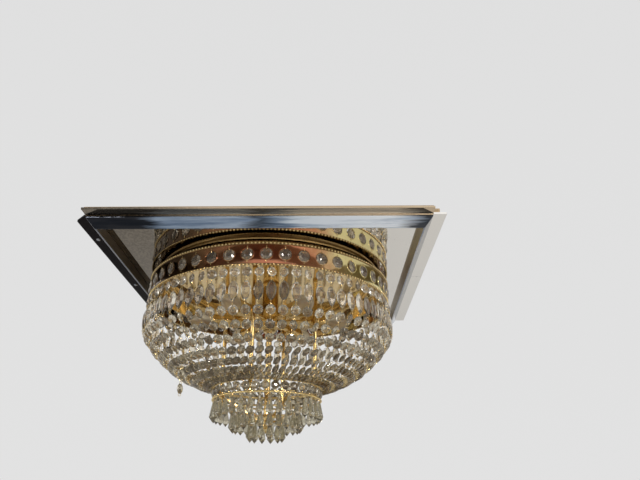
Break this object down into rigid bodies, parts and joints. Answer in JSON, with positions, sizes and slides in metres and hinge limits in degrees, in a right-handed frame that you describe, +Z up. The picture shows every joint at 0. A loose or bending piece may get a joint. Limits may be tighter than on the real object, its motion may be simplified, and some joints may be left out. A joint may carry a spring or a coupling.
{
  "type": "crystal ceiling chandelier with mirror panel for a truck cab",
  "caption": "Crystal basket chandelier with a pierced brass band under a framed mirror ceiling panel.",
  "frame": {"origin": "centre of the panel's back face, where it lies against the ceiling", "axes": "+Z up into the ceiling, +X along the panel's near edge, -Y towards the near edge"},
  "size_m": [0.54, 0.562, 0.2914],
  "materials": {
    "board": "raw",
    "mirror": "mirror",
    "chrome": "polished",
    "brass": "polished",
    "crystal": "cut and polished",
    "bulb_glass": "frosted"
  },
  "bodies": {
    "root": {"backing_board": "board", "main_mirror": "mirror", "strip_near": "mirror", "strip_far": "mirror", "strip_left": "mirror", "strip_right": "mirror", "trim_near": "chrome", "trim_far": "chrome", "trim_left": "chrome", "trim_right": "chrome", "canopy_plate": "brass", "canopy_wall": "brass", "pierced_band": "brass", "rim_upper": "brass", "rim_lower": "brass", "band_brackets": "brass", "band_crystals": "crystal", "upper_hoop": "brass", "lower_bead_row": "crystal", "drop_spider": "brass", "hoop_outer": "brass", "hoop_middle": "brass", "hoop_inner": "brass", "drops_outer": "crystal", "drops_middle": "crystal", "drops_inner": "crystal", "hanging_rods": "brass", "centre_tube": "brass", "bottom_nut": "brass", "lamp_column": "brass", "lamp_arms": "brass", "lamp_holders": "brass", "bulbs": "bulb_glass", "loose_strand": "crystal", "strands_1": "crystal", "strands_2": "crystal", "strands_3": "crystal", "strands_4": "crystal", "strands_5": "crystal", "strands_6": "crystal", "strands_7": "crystal", "strands_8": "crystal"}
  },
  "joints": []
}
